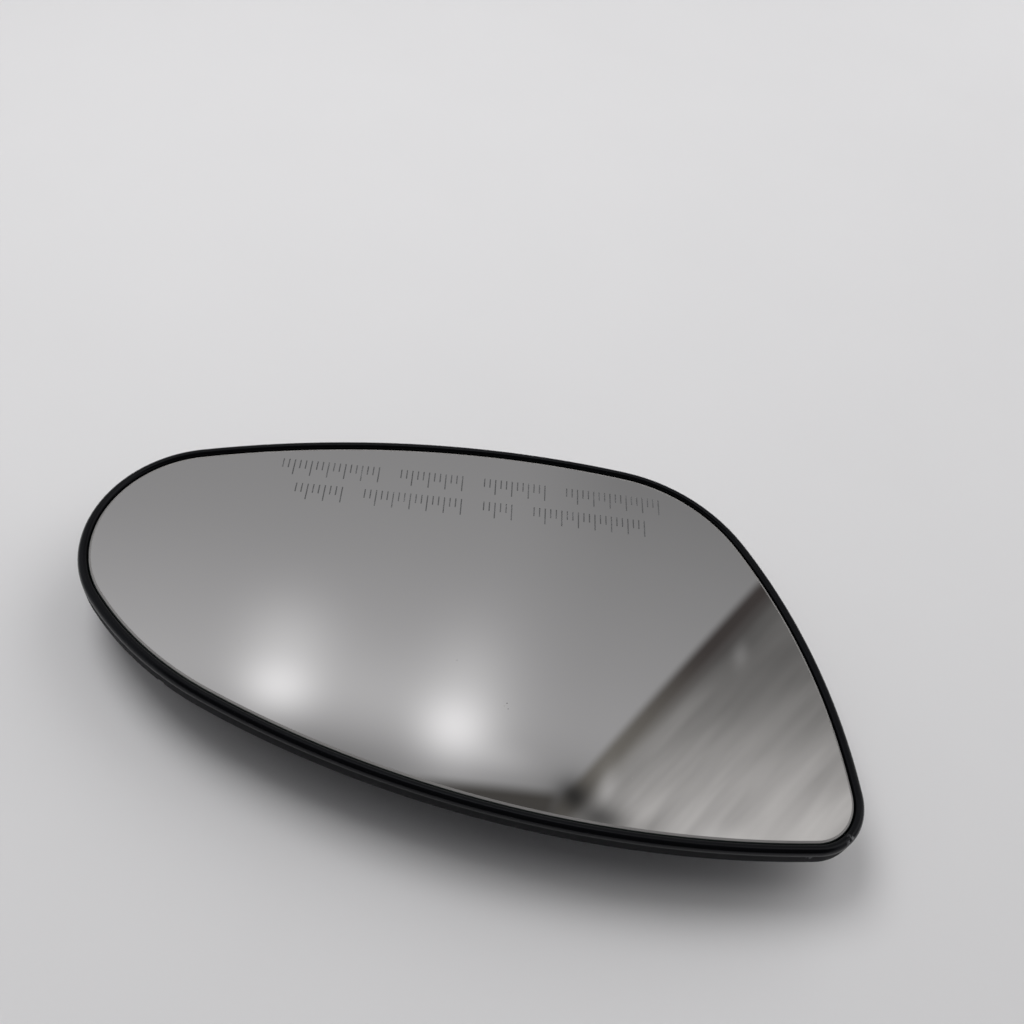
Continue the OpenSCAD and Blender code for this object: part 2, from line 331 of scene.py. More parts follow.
def dust_group():
    """Scattered dust: a mask of small soft specks."""

    def build(tree, given):
        cells = add(tree, "ShaderNodeTexVoronoi", {"Vector": given["Vector"], "Scale": given["Scale"]})
        speck = smooth_step(tree, cells.outputs["Distance"], *SPECK_EDGE)
        chosen = add(tree, "ShaderNodeSeparateColor", {"Color": cells.outputs["Color"]}).outputs["Red"]
        kept = reckon(tree, "LESS_THAN", chosen, given["Density"])
        return {"Mask": reckon(tree, "MULTIPLY", speck, kept)}

    inputs = [
        ("Vector", "NodeSocketVector", None),
        ("Scale", "NodeSocketFloat", 400.0),
        ("Density", "NodeSocketFloat", 0.05),
    ]
    return shader_group("fine_dust", inputs, [("Mask", "NodeSocketFloat", None)], build)


def placed(tree, group, **inputs):
    """The outputs of a group that is placed in a tree with these inputs."""
    made = tree.nodes.new("ShaderNodeGroup")
    made.node_tree = group
    for key, value in inputs.items():
        connect(tree, made.inputs[key], value)
    return made.outputs


def new_material(name):
    """A material with its Principled shader, and the object's own coordinates."""
    material = bpy.data.materials.new(name)
    material.use_nodes = True
    tree = material.node_tree
    shader = tree.nodes["Principled BSDF"]
    where = add(tree, "ShaderNodeTexCoord").outputs["Object"]
    return material, tree, shader, where


def feed(tree, shader, **inputs):
    """Sets or links inputs of the shader, with _ for a space."""
    for key, value in inputs.items():
        connect(tree, shader.inputs[key.replace("_", " ")], value)


def bump(tree, height, distance, strength=1.0):
    inputs = {"Height": height, "Distance": distance, "Strength": strength}
    return add(tree, "ShaderNodeBump", inputs).outputs["Normal"]


# Materials

# Height of the fine grain on ground glass, coats and film
FINE_GRAIN = 0.02 * MM
# Depths under the front of the glass between which the plastic turns dull
SIDE_DROP = (0.6 * MM, 1.2 * MM)
# Noise values between which a smear shows
SMEARED = (0.5, 0.75)
# How much a dust speck changes the glass and the plastic, and how much rougher it makes the glass
DUST_ON_GLASS, DUST_ON_PLASTIC, DUST_ROUGHNESS = 0.35, 0.1, 0.25
# Roughness of the clean glass
POLISHED = 0.012
# Roughness that the grain's tint and a rubbed edge add to the plastic
TINT_ROUGHNESS, WORN_ROUGHNESS = 0.12, 0.15
# Heights of the grain between which an etched mark turns frosty
FROSTED = (0.45, 0.7)
# Noise values between which a scuff shows as a pale fleck
FLECKED = (0.54, 0.62)
# Values of the wave between which the heating trace is printed, the roughness of the film
# and what the trace adds to it
TRACE_EDGE = (0.55, 0.65)
FILM_ROUGHNESS, TRACE_ROUGHNESS = 0.3, 0.2
# Depth of the foam's cells, and depth and roughness of the lines drawn into metal
FOAM_CELLS = 0.08 * MM
DRAWN_LINES, LINE_ROUGHNESS = 0.01 * MM, 0.2


def mirror_material(looks):
    """Coated glass: a clean mirror with faint smudges and a little dust."""
    material, tree, shader, where = new_material("polished_mirror")
    smear = smooth_step(tree, clouds(tree, where, 22.0, 5.0, distortion=0.6), *SMEARED)
    dust = placed(tree, dust_group(), Vector=where, Scale=520.0, Density=0.012)["Mask"]
    dusty = reckon(tree, "MULTIPLY", dust, DUST_ON_GLASS)
    base = blend(tree, dusty, opaque(looks.mirror), opaque(looks.dust))
    feed(tree, shader, Base_Color=base, Metallic=1.0)
    rough = reckon(tree, "MULTIPLY_ADD", smear, looks.smudge, POLISHED)
    feed(tree, shader, Roughness=reckon(tree, "MULTIPLY_ADD", dust, DUST_ROUGHNESS, rough))
    return material


def ground_material(looks):
    """Seam round the front of the glass, ground with a fine wheel."""
    material, tree, shader, where = new_material("ground_glass_edge")
    grain = placed(tree, grain_group(), Vector=where, Scale=2600.0)
    darker = shaded(looks.ground, 0.75)
    feed(tree, shader, Base_Color=blend(tree, grain["Tint"], opaque(looks.ground), darker))
    feed(tree, shader, Roughness=0.38, Specular_IOR_Level=0.6)
    feed(tree, shader, Normal=bump(tree, grain["Height"], FINE_GRAIN))
    return material


def cut_edge_material(looks):
    """Edge of the glass under the seam, in the shade of the rim."""
    material, tree, shader, where = new_material("cut_glass_edge")
    grain = placed(tree, grain_group(), Vector=where, Scale=1900.0)
    lighter = shaded(looks.cut, 1.5)
    feed(tree, shader, Base_Color=blend(tree, grain["Tint"], opaque(looks.cut), lighter))
    feed(tree, shader, Roughness=0.3, Normal=bump(tree, grain["Height"], FINE_GRAIN))
    return material


def back_coat_material(looks):
    """Protective coat on the back of the glass."""
    material, tree, shader, where = new_material("back_coat")
    grain = placed(tree, grain_group(), Vector=where, Scale=700.0)
    lighter = shaded(looks.back, 1.4)
    feed(tree, shader, Base_Color=blend(tree, grain["Tint"], opaque(looks.back), lighter))
    feed(tree, shader, Roughness=0.55, Normal=bump(tree, grain["Height"], FINE_GRAIN))
    return material


def etched_material(looks, name):
    """Marks where the coating is etched away, and crumbs of grit, with a frosted grain."""
    material, tree, shader, where = new_material(name)
    grain = placed(tree, grain_group(), Vector=where, Scale=4200.0)
    frosted = smooth_step(tree, grain["Height"], *FROSTED)
    feed(tree, shader, Base_Color=blend(tree, frosted, opaque(looks.etched), shaded(looks.etched, 2.4)))
    feed(tree, shader, Roughness=0.6)
    return material


# Scuffs low on the side of the rim, two at the sharp corner and one by the chin: place, reach and strength.
# Places and reaches are in millimetres
SCUFFS = (
    ((85.6, -42.9, 14.5), 2.4, 0.9),
    ((76.0, -46.8, 13.6), 1.4, 0.6),
    ((-61.9, -21.6, 14.2), 1.2, 0.6),
)
# Share of a scuff's reach that is scuffed at full strength
SCUFF_CORE = 0.3


def distance_from(tree, where, point):
    """Distance of the shaded place from a point."""
    inputs = {0: where, 1: point}
    return add(tree, "ShaderNodeVectorMath", inputs, operation="DISTANCE").outputs["Value"]


def scuff_mask(tree, where):
    """Pale flecks in a few scuffed stretches of the rim's side."""
    flecks = smooth_step(tree, clouds(tree, where, 1100.0, 3.0), *FLECKED)
    mask = 0.0
    for centre, reach, amount in SCUFFS:
        point = tuple(v * MM for v in centre)
        gap = distance_from(tree, where, point)
        near = smooth_step(tree, gap, reach * MM, SCUFF_CORE * reach * MM)
        mask = reckon(tree, "MAXIMUM", mask, reckon(tree, "MULTIPLY", near, amount))
    return reckon(tree, "MULTIPLY", mask, flecks)


def plastic_material(looks, dust_colour, dome_r):
    """Black moulded plastic: glossy on the crest, duller on the sides, with grain, wear and dust."""
    material, tree, shader, where = new_material("moulded_black_plastic")
    drop = reckon(tree, "SUBTRACT", dome_r, distance_from(tree, where, (0, 0, APEX - dome_r)))
    side = smooth_step(tree, drop, *SIDE_DROP)
    grain = placed(tree, grain_group(), Vector=where, Scale=1500.0)
    worn = placed(tree, wear_group(), Vector=where, Scale=260.0, Amount=0.5)["Mask"]
    dust = placed(tree, dust_group(), Vector=where, Scale=420.0, Density=0.03)["Mask"]
    plain = blend(tree, grain["Tint"], opaque(looks.black), shaded(looks.black, 1.5))
    rubbed = blend(tree, worn, plain, opaque(looks.worn))
    scuffed = blend(tree, scuff_mask(tree, where), rubbed, opaque(looks.scuffed))
    dusty = reckon(tree, "MULTIPLY", dust, DUST_ON_PLASTIC)
    feed(tree, shader, Base_Color=blend(tree, dusty, scuffed, opaque(dust_colour)))
    patchy = reckon(tree, "MULTIPLY_ADD", grain["Tint"], TINT_ROUGHNESS, looks.rough - TINT_ROUGHNESS / 2)
    duller = reckon(tree, "MULTIPLY_ADD", side, looks.side_rough - looks.rough, patchy)
    rough = reckon(tree, "MULTIPLY_ADD", worn, WORN_ROUGHNESS, duller)
    feed(tree, shader, Roughness=rough, Specular_IOR_Level=0.2)
    feed(tree, shader, Specular_Tint=(0.9, 0.92, 1.0, 1.0))
    feed(tree, shader, Normal=bump(tree, grain["Height"], looks.grain, 0.5))
    return material


def film_material(looks):
    """Copper-coloured film with its printed heating trace."""
    material, tree, shader, where = new_material("heating_film")
    inputs = {"Vector": where, "Scale": 90.0, "Distortion": 0.0}
    waves = add(tree, "ShaderNodeTexWave", inputs, bands_direction="Y")
    trace = smooth_step(tree, waves.outputs["Fac"], *TRACE_EDGE)
    grain = placed(tree, grain_group(), Vector=where, Scale=900.0)
    shade = blend(tree, grain["Tint"], opaque(looks.film), shaded(looks.film, 0.8))
    feed(tree, shader, Base_Color=blend(tree, trace, shade, opaque(looks.trace)))
    feed(tree, shader, Roughness=reckon(tree, "MULTIPLY_ADD", trace, TRACE_ROUGHNESS, FILM_ROUGHNESS))
    feed(tree, shader, Normal=bump(tree, trace, FINE_GRAIN))
    return material


def foam_material(looks):
    """Closed-cell adhesive foam."""
    material, tree, shader, where = new_material("adhesive_foam")
    cells = add(tree, "ShaderNodeTexVoronoi", {"Vector": where, "Scale": 2200.0}).outputs["Distance"]
    feed(tree, shader, Base_Color=blend(tree, cells, opaque(looks.foam), shaded(looks.foam, 1.6)))
    feed(tree, shader, Roughness=0.85, Normal=bump(tree, cells, FOAM_CELLS))
    return material


def metal_material(name, rgb, rough):
    """Satin metal with drawn lines and small rubbed edges."""
    material, tree, shader, where = new_material(name)
    stretched = add(tree, "ShaderNodeMapping", {"Vector": where, "Scale": (1.0, 14.0, 1.0)}).outputs[0]
    lines = placed(tree, grain_group(), Vector=stretched, Scale=900.0)
    worn = placed(tree, wear_group(), Vector=where, Scale=500.0, Amount=0.6)["Mask"]
    shade = blend(tree, lines["Tint"], opaque(rgb), shaded(rgb, 0.72))
    feed(tree, shader, Base_Color=blend(tree, worn, shade, shaded(rgb, 1.2)), Metallic=1.0)
    feed(tree, shader, Roughness=reckon(tree, "MULTIPLY_ADD", lines["Height"], LINE_ROUGHNESS, rough))
    feed(tree, shader, Normal=bump(tree, lines["Height"], DRAWN_LINES))
    return material


# Shapes


def direction(angle):
    return Vector((math.cos(angle), math.sin(angle)))


def bearing(start, end):
    return math.atan2(end.y - start.y, end.x - start.x)


def side_centre(a, a_r, b, b_r, radius):
    """Centre of a bowed side that touches the circles a and b from outside."""
    gap = (b - a).length
    along = (b - a) / gap
    reach = radius - a_r
    run = (reach**2 - (radius - b_r) ** 2 + gap**2) / (2 * gap)
    across = Vector((-along.y, along.x))
    return a + along * run + across * math.sqrt(reach**2 - run**2)


def outline_stations(sizes):
    """Stations along the edge of the glass, each (centre, radius, bearing of the normal)."""
    sharp, shoulder, nose = (Vector(v) for v in (sizes.sharp, sizes.shoulder, sizes.nose))
    chin = nose - (sizes.chin_r - sizes.nose_r) * direction(sizes.chin_bearing)
    end_side = side_centre(sharp, sizes.sharp_r, shoulder, sizes.shoulder_r, sizes.end_side_r)
    far_side = side_centre(shoulder, sizes.shoulder_r, nose, sizes.nose_r, sizes.far_side_r)
    near_side = side_centre(chin, sizes.chin_r, sharp, sizes.sharp_r, sizes.near_side_r)
    arcs = [
        (sharp, sizes.sharp_r, bearing(near_side, sharp)),
        (end_side, sizes.end_side_r, bearing(end_side, sharp)),
        (shoulder, sizes.shoulder_r, bearing(end_side, shoulder)),
        (far_side, sizes.far_side_r, bearing(far_side, shoulder)),
        (nose, sizes.nose_r, bearing(far_side, nose)),
        (chin, sizes.chin_r, sizes.chin_bearing),
        (near_side, sizes.near_side_r, bearing(near_side, chin)),
    ]
    stations = []
    for index, (centre, radius, start) in enumerate(arcs):
        sweep = (arcs[(index + 1) % len(arcs)][2] - start) % math.tau
        steps = math.ceil(max(sweep / sizes.turn, sweep * radius / sizes.step))
        stations += [(centre, radius, start + sweep * k / steps) for k in range(steps)]
    return stations


def on_dome(plan, sizes, height=0.0):
    """The point over a place of the plan that lies this high over the front of the glass."""
    radius = sizes.dome_r + height
    return Vector((plan.x, plan.y, APEX - sizes.dome_r + math.sqrt(radius**2 - plan.length_squared)))


def new_piece(name, mesh, materials, replaced=()):
    """An object of the part, riding on its body."""
    piece = bpy.data.objects.new(name, mesh)
    bpy.context.scene.collection.objects.link(piece)
    for material in materials:
        mesh.materials.append(material)
    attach(piece, BODY)
    if replaced:
        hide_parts(*replaced)
    return piece


def bridge(mesh, low, high, material_index=0):
    """Faces between two closed rings of as many points."""
    count = len(low)
    for i in range(count):
        j = (i + 1) % count
        face = mesh.faces.new((low[i], low[j], high[j], high[i]))
        face.material_index = material_index
        face.smooth = True


def fan(mesh, ring, tip, material_index=0, flip=False):
    """Faces from a closed ring to one point."""
    count = len(ring)
    for i in range(count):
        j = (i + 1) % count
        corners = (ring[i], ring[j], tip)
        face = mesh.faces.new(corners[::-1] if flip else corners)
        face.material_index = material_index
        face.smooth = True


# Materials of the glass in the order of its slots
FRONT, GROUND, BACK, CUT = range(4)
# Where the seam is rounded, as shares of its width and depth
ROUND_INSET, ROUND_DROP = 0.3, 0.45


def glass_mesh(sizes):
    """The convex glass, with its ground seam, its back and its cut edge."""
    stations = outline_stations(sizes)
    mesh = bmesh.new()

    def ring(inset, height, shrink=1.0):
        made = []
        for centre, radius, angle in stations:
            plan = centre + (radius - inset) * direction(angle)
            made.append(mesh.verts.new(on_dome(shrink * plan, sizes, height)))
        return made

    def surface(inset, height, material_index, flip):
        rings = [ring(inset, height, 1 - k / sizes.rings) for k in range(sizes.rings)]
        for outer, inner in zip(rings, rings[1:]):
            bridge(mesh, *((inner, outer) if flip else (outer, inner)), material_index)
        tip = mesh.verts.new(on_dome(Vector((0, 0)), sizes, height))
        fan(mesh, rings[-1], tip, material_index, flip)
        return rings[0]

    depth = sizes.seam_depth
    front = surface(sizes.seam, 0.0, FRONT, False)
    rounded = ring(ROUND_INSET * sizes.seam, -ROUND_DROP * depth)
    side_top = ring(0.0, -depth)
    side_low = ring(0.0, -sizes.thickness + depth / 2)
    back = surface(depth / 2, -sizes.thickness, BACK, True)
    bridge(mesh, rounded, front, GROUND)
    bridge(mesh, side_top, rounded, CUT)
    bridge(mesh, side_low, side_top, CUT)
    bridge(mesh, back, side_low, CUT)
    for edge in mesh.edges:
        if len({face.material_index for face in edge.link_faces}) > 1:
            edge.smooth = False
    mesh.normal_update()
    made = bpy.data.meshes.new("convex_glass")
    mesh.to_mesh(made)
    mesh.free()
    return made


# Depth to which a mark's stroke reaches into the glass
STROKE_FOOT = 0.02 * MM


def add_stroke(mesh, sizes, start, end, width, proud):
    """A thin raised stroke on the dome, between two places of the plan."""
    along = (end - start).normalized()
    across = Vector((-along.y, along.x)) * width / 2
    corners = [start - across, end - across, end + across, start + across]
    low = [mesh.verts.new(on_dome(p, sizes, -STROKE_FOOT)) for p in corners]
    high = [mesh.verts.new(on_dome(p, sizes, proud)) for p in corners]
    mesh.faces.new(low[::-1])
    mesh.faces.new(high)
    for i in range(len(corners)):
        j = (i + 1) % len(corners)
        mesh.faces.new((low[i], low[j], high[j], high[i]))


# The groups of graduation marks in each row from the right, as counts of long marks. One pitch is left out
# between groups
ROW_GROUPS = ((6, 4, 4, 6), (7, 2, 6, 3))
# Place of each row's right end, along X
ROW_ENDS = (47.5 * MM, 43.5 * MM)
MARKS_PER_PITCH = 3


def etched_mesh(sizes, etch):
    """Graduation marks: a long mark at each pitch, and short ones between."""
    mesh = bmesh.new()
    for row, (groups, right_end) in enumerate(zip(ROW_GROUPS, ROW_ENDS)):
        far_y = etch.top_y - row * etch.row_step
        x = right_end
        for count in groups:
            for mark in range(count * MARKS_PER_PITCH):
                reach = etch.high if mark % MARKS_PER_PITCH == 0 else etch.short
                here = x - mark * etch.pitch / MARKS_PER_PITCH
                start = Vector((here, far_y))
                add_stroke(mesh, sizes, start, start - Vector((0, reach)), etch.stroke, etch.proud)
            x -= (count + 1) * etch.pitch
    mesh.normal_update()
    made = bpy.data.meshes.new("etched_marks")
    mesh.to_mesh(made)
    mesh.free()
    return made


# Specks of grit on the glass: place in the plan and size, in millimetres
SPECKS = (((11.1, -20.2), 0.32), ((11.4, -21.5), 0.26), ((10.5, -20.9), 0.16), ((-0.5, -11.0), 0.22))
# Length, width and height of a speck against its size, and its turn from the speck before in radians
SPECK_FORM = (1.0, 0.6, 0.35)
SPECK_TURN = 1.3
# How fine and how deep a speck's lumps are, and how far it may reach into the glass
LUMP_SCALE, LUMP_DEPTH = 9000, 0.25
SPECK_FOOT = 0.01 * MM


def speck_mesh(sizes):
    """Small crumbs that lie on the glass."""
    mesh = bmesh.new()
    for index, (plan, width) in enumerate(SPECKS):
        foot = on_dome(Vector(plan) * MM, sizes)
        turned = Matrix.Rotation(SPECK_TURN * index, 4, "Z") @ Matrix.Diagonal((*SPECK_FORM, 1.0))
        ball = bmesh.ops.create_icosphere(mesh, subdivisions=2, radius=width * MM / 2, matrix=turned)
        for vert in ball["verts"]:
            lump = noise.noise(vert.co * LUMP_SCALE + Vector((index, 0, 0)))
            vert.co = vert.co * (1 + LUMP_DEPTH * lump) + foot
            vert.co.z = max(vert.co.z, foot.z - SPECK_FOOT)
    made = bpy.data.meshes.new("glass_specks")
    mesh.to_mesh(made)
    mesh.free()
    return made


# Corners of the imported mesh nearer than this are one, and an edge with a larger turn stays sharp
WELD = 0.002 * MM
SHARP_TURN = math.radians(40)


def smoothing_tree():
    """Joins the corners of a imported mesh, and shades it smooth except at sharp edges."""
    found = bpy.data.node_groups.get("smooth_by_angle")
    if found:
        return found
    tree = bpy.data.node_groups.new("smooth_by_angle", "GeometryNodeTree")
    tree.interface.new_socket("Geometry", in_out="INPUT", socket_type="NodeSocketGeometry")
    tree.interface.new_socket("Geometry", in_out="OUTPUT", socket_type="NodeSocketGeometry")
    entry = tree.nodes.new("NodeGroupInput")
    leave = tree.nodes.new("NodeGroupOutput")
    bare = add(tree, "GeometryNodeRemoveAttribute", {"Geometry": entry.outputs[0], "Name": "custom_normal"})
    merged = add(tree, "GeometryNodeMergeByDistance", {"Geometry": bare.outputs[0], "Distance": WELD})
    smooth = add(tree, "GeometryNodeSetShadeSmooth", {"Geometry": merged.outputs[0], "Shade Smooth": True})
    soft = {"Geometry": smooth.outputs[0], "Shade Smooth": True}
    all_soft = add(tree, "GeometryNodeSetShadeSmooth", soft, domain="EDGE")
    turn = add(tree, "GeometryNodeInputMeshEdgeAngle").outputs["Unsigned Angle"]
    sharp = add(tree, "FunctionNodeCompare", {0: turn, 1: SHARP_TURN}, operation="GREATER_THAN")
    hard = {"Geometry": all_soft.outputs[0], "Selection": sharp.outputs[0], "Shade Smooth": False}
    edged = add(tree, "GeometryNodeSetShadeSmooth", hard, domain="EDGE")
    tree.links.new(edged.outputs[0], leave.inputs[0])
    return tree


def finish_node(name, material):
    """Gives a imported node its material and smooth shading."""
    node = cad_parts[name]
    for slot in node.material_slots:
        slot.material = material
    smoothing = node.modifiers.new("smooth_by_angle", "NODES")
    smoothing.node_group = smoothing_tree()


# Stage

# Soft round lights that face the part: bearing and rise in degrees, distance and width in metres, and power
# in watts
SOFT_LIGHTS = {
    "window_right": (45, 35, 0.9, 0.9, 3.3),
    "window_back": (90, 60, 0.9, 0.9, 0.4),
    "window_left": (135, 60, 0.7, 0.35, 1.9),
    "side_left": (180, 60, 0.7, 0.35, 0.3),
}
# Point that the lights face
LIT_MIDDLE = Vector((0.01, 0.02, 0.0))

# The room as the glass reflects it, in three directions: straight ahead, to the right and up in the picture.
# A place in the room is its distance across and up from AHEAD, over its distance along AHEAD. The functions
# below take the place that a ray meets as seen, the pair (across, up)
AHEAD = Vector((0.07, 0.6, 0.797)).normalized()
RIGHT = AHEAD.cross(Vector((0, 0, 1))).normalized()
UP = RIGHT.cross(AHEAD)
# Least distance along AHEAD, and the cosines to AHEAD between which the plain surround turns into the room
LEAST_DEPTH = 0.05
ROOM_EDGE = (0.3, 0.7)
# Grey of the walls by height, on their left and on their right, and where one turns into the other
ROOM_LOW, ROOM_HIGH = -0.3, 0.5
WALL_HEIGHTS = (-0.14, -0.05, 0.01, 0.07, 0.13, 0.19, 0.25, 0.32)
WALL_LEFT = (0.345, 0.37, 0.392, 0.438, 0.487, 0.54, 0.6, 0.33)
WALL_RIGHT = (0.27, 0.325, 0.35, 0.385, 0.415, 0.455, 0.465, 0.25)
WALL_TURN = (-0.02, 0.16)
# A roof beam: a point of its line and the line's normal, its two edges, where it pales on its way up,
# and its colours
BEAM_POINT = Vector((0.34, -0.05))
BEAM_NORMAL = Vector((0.882, 0.47))
BEAM_START, BEAM_END = (-0.008, 0.008), (0.042, 0.014)
BEAM_PALES = (0.05, 0.25)
BEAM_LOW, BEAM_HIGH = (0.07, 0.062, 0.059), (0.2, 0.19, 0.17)
# The panel beyond the beam: its edge, its grey beside the beam, and what that gains beyond and above it
PANEL_EDGE = (0.004, 0.03)
PANEL_RISE = (0.03, 0.32)
PANEL_GREY, PANEL_BEYOND, PANEL_ABOVE = 0.125, 0.72, 0.32
PANEL_TINT = (1.0, 0.985, 0.955)
# Streaks along the beam on the panel: noise, its stretch, and the least and the gain of their light
STREAK_SCALE, STREAK_DETAIL, STREAK_STRETCH = 24.0, 2.5, 0.16
STREAK_LEAST, STREAK_GAIN = 0.45, 1.1
# Soft glows in the room: [centre], [reach] and strength
GLOWS = (
    ((-0.25, 0.242), (0.05, 0.04), 0.42),
    ((-0.25, 0.185), (0.065, 0.07), 0.24),
    ((-0.012, 0.255), (0.048, 0.045), 0.42),
    ((-0.008, 0.21), (0.06, 0.09), 0.21),
    ((0.06, 0.28), (0.045, 0.024), 0.11),
    ((-0.13, 0.225), (0.09, 0.07), 0.06),
    ((0.337, 0.058), (0.01, 0.018), 0.1),
    ((0.2, 0.285), (0.012, 0.03), 0.14),
    ((0.37, 0.325), (0.045, 0.026), 0.18),
)
# Dark shapes in the room, in the same way
SHADES = (
    ((0.16, 0.308), (0.026, 0.025), 0.92),
    ((0.205, 0.33), (0.04, 0.022), 0.75),
    ((-0.2, 0.345), (0.14, 0.05), 0.42),
)
SHADE_COLOUR = (0.03, 0.03, 0.03)
# A dark strip along the top, which comes down towards the beam: its tilt, edge, ends and colour
STRIP_TILT = 0.11
STRIP_EDGE = (0.314, 0.336)
STRIP_START, STRIP_END = (-0.14, -0.02), (0.165, 0.125)
STRIP_COLOUR = (0.08, 0.076, 0.07)
# A roof window, which lights the crest of the rim, and the cosines of its soft edge
ROOF_WINDOW = Vector((0.02, -0.04, 1.0)).normalized()
WINDOW_EDGE = (0.95, 0.975)
# Towards this side the room is dark
DARK_SIDE = Vector((-0.04, -0.77, 0.64)).normalized()
DARK_EDGE = (0.5, 0.68)
DARK_COLOUR = (0.02, 0.02, 0.022)


def grey_ramp(tree, up, greys):
    """Grey of the walls by height in the room."""
    inputs = {"Value": up, "From Min": ROOM_LOW, "From Max": ROOM_HIGH}
    level = add(tree, "ShaderNodeMapRange", inputs).outputs["Result"]
    made = add(tree, "ShaderNodeValToRGB", {"Fac": level})
    made.color_ramp.interpolation = "B_SPLINE"
    elements = made.color_ramp.elements
    for index, (height, grey) in enumerate(zip(WALL_HEIGHTS, greys)):
        element = elements[index] if index < 2 else elements.new(1.0)
        element.position = (height - ROOM_LOW) / (ROOM_HIGH - ROOM_LOW)
        element.color = opaque([grey] * 3)
    return made.outputs["Color"]


def reach_along(tree, ray, axis):
    """How far a ray runs along an axis."""
    return add(tree, "ShaderNodeVectorMath", {0: ray, 1: axis}, operation="DOT_PRODUCT").outputs["Value"]


def line_distance(tree, seen, point, normal):
    """Distance of the seen place from a line of the room."""
    parts = [
        reckon(tree, "MULTIPLY", reckon(tree, "SUBTRACT", value, point[axis]), normal[axis])
        for axis, value in enumerate(seen)
    ]
    return reckon(tree, "ADD", *parts)


def spot(tree, seen, centre, reach):
    """A soft round spot in the room."""
    squares = []
    for axis, value in enumerate(seen):
        part = reckon(tree, "DIVIDE", reckon(tree, "SUBTRACT", value, centre[axis]), reach[axis])
        squares.append(reckon(tree, "MULTIPLY", part, part))
    return reckon(tree, "EXPONENT", reckon(tree, "MULTIPLY", reckon(tree, "ADD", *squares), -1.0))


def with_beam(tree, seen, walls):
    """The walls with the beam, and the streaked panel beyond it."""
    up = seen[1]
    beyond = line_distance(tree, seen, BEAM_POINT, BEAM_NORMAL)
    run = line_distance(tree, seen, BEAM_POINT, (-BEAM_NORMAL.y, BEAM_NORMAL.x))
    stretched = {0: beyond, 1: reckon(tree, "MULTIPLY", run, STREAK_STRETCH)}
    streak_place = add(tree, "ShaderNodeCombineXYZ", stretched).outputs[0]
    streaks = clouds(tree, streak_place, STREAK_SCALE, STREAK_DETAIL)
    above = smooth_step(tree, up, *PANEL_RISE)
    grey = reckon(tree, "MULTIPLY_ADD", beyond, PANEL_BEYOND, PANEL_GREY)
    grey = reckon(tree, "MULTIPLY_ADD", above, PANEL_ABOVE, grey)
    grey = reckon(tree, "MULTIPLY", grey, reckon(tree, "MULTIPLY_ADD", streaks, STREAK_GAIN, STREAK_LEAST))
    panel = blend(tree, 1.0, opaque(PANEL_TINT), grey, "MULTIPLY")
    room = blend(tree, smooth_step(tree, beyond, *PANEL_EDGE), walls, panel)
    beam_end = smooth_step(tree, beyond, *BEAM_END)
    beam = reckon(tree, "MULTIPLY", smooth_step(tree, beyond, *BEAM_START), beam_end)
    faded = smooth_step(tree, up, *BEAM_PALES)
    return blend(tree, beam, room, blend(tree, faded, opaque(BEAM_LOW), opaque(BEAM_HIGH)))


def with_spots(tree, seen, room):
    """The room with its glows and its dark shapes."""
    for centre, reach, strength in GLOWS:
        level = reckon(tree, "MULTIPLY", spot(tree, seen, centre, reach), strength)
        light = blend(tree, 1.0, opaque((1.0, 1.0, 1.0)), level, "MULTIPLY")
        room = blend(tree, 1.0, room, light, "ADD")
    for centre, reach, strength in SHADES:
        level = reckon(tree, "MULTIPLY", spot(tree, seen, centre, reach), strength)
        room = blend(tree, level, room, opaque(SHADE_COLOUR))
    return room


def with_strip(tree, seen, room):
    """The room with the dark strip along its top."""
    across, up = seen
    rise = reckon(tree, "MULTIPLY_ADD", across, STRIP_TILT, up)
    ends = [smooth_step(tree, across, *end) for end in (STRIP_START, STRIP_END)]
    strip = reckon(tree, "MULTIPLY", smooth_step(tree, rise, *STRIP_EDGE), reckon(tree, "MULTIPLY", *ends))
    return blend(tree, strip, room, opaque(STRIP_COLOUR))


def studio_world(looks):
    """A plain grey room with soft glows, a beam, a panel, a roof window and a dark side behind the camera."""
    world = bpy.data.worlds.new("studio_room")
    world.use_nodes = True
    tree = world.node_tree
    ray = add(tree, "ShaderNodeTexCoord").outputs["Generated"]
    ray = add(tree, "ShaderNodeVectorMath", {0: ray}, operation="NORMALIZE").outputs[0]
    ahead = reach_along(tree, ray, AHEAD)
    depth = reckon(tree, "MAXIMUM", ahead, LEAST_DEPTH)
    seen = [reckon(tree, "DIVIDE", reach_along(tree, ray, axis), depth) for axis in (RIGHT, UP)]
    across, up = seen
    left, right = grey_ramp(tree, up, WALL_LEFT), grey_ramp(tree, up, WALL_RIGHT)
    walls = blend(tree, smooth_step(tree, across, *WALL_TURN), left, right)
    room = with_strip(tree, seen, with_spots(tree, seen, with_beam(tree, seen, walls)))
    whole = blend(tree, smooth_step(tree, ahead, *ROOM_EDGE), opaque(looks.surround), room)
    window = smooth_step(tree, reach_along(tree, ray, ROOF_WINDOW), *WINDOW_EDGE)
    whole = blend(tree, window, whole, opaque([looks.roof_window] * 3))
    dark = smooth_step(tree, reach_along(tree, ray, DARK_SIDE), *DARK_EDGE)
    whole = blend(tree, dark, whole, opaque(DARK_COLOUR))
    background = tree.nodes["Background"]
    tree.links.new(whole, background.inputs["Color"])
    background.inputs["Strength"].default_value = looks.room
    return world


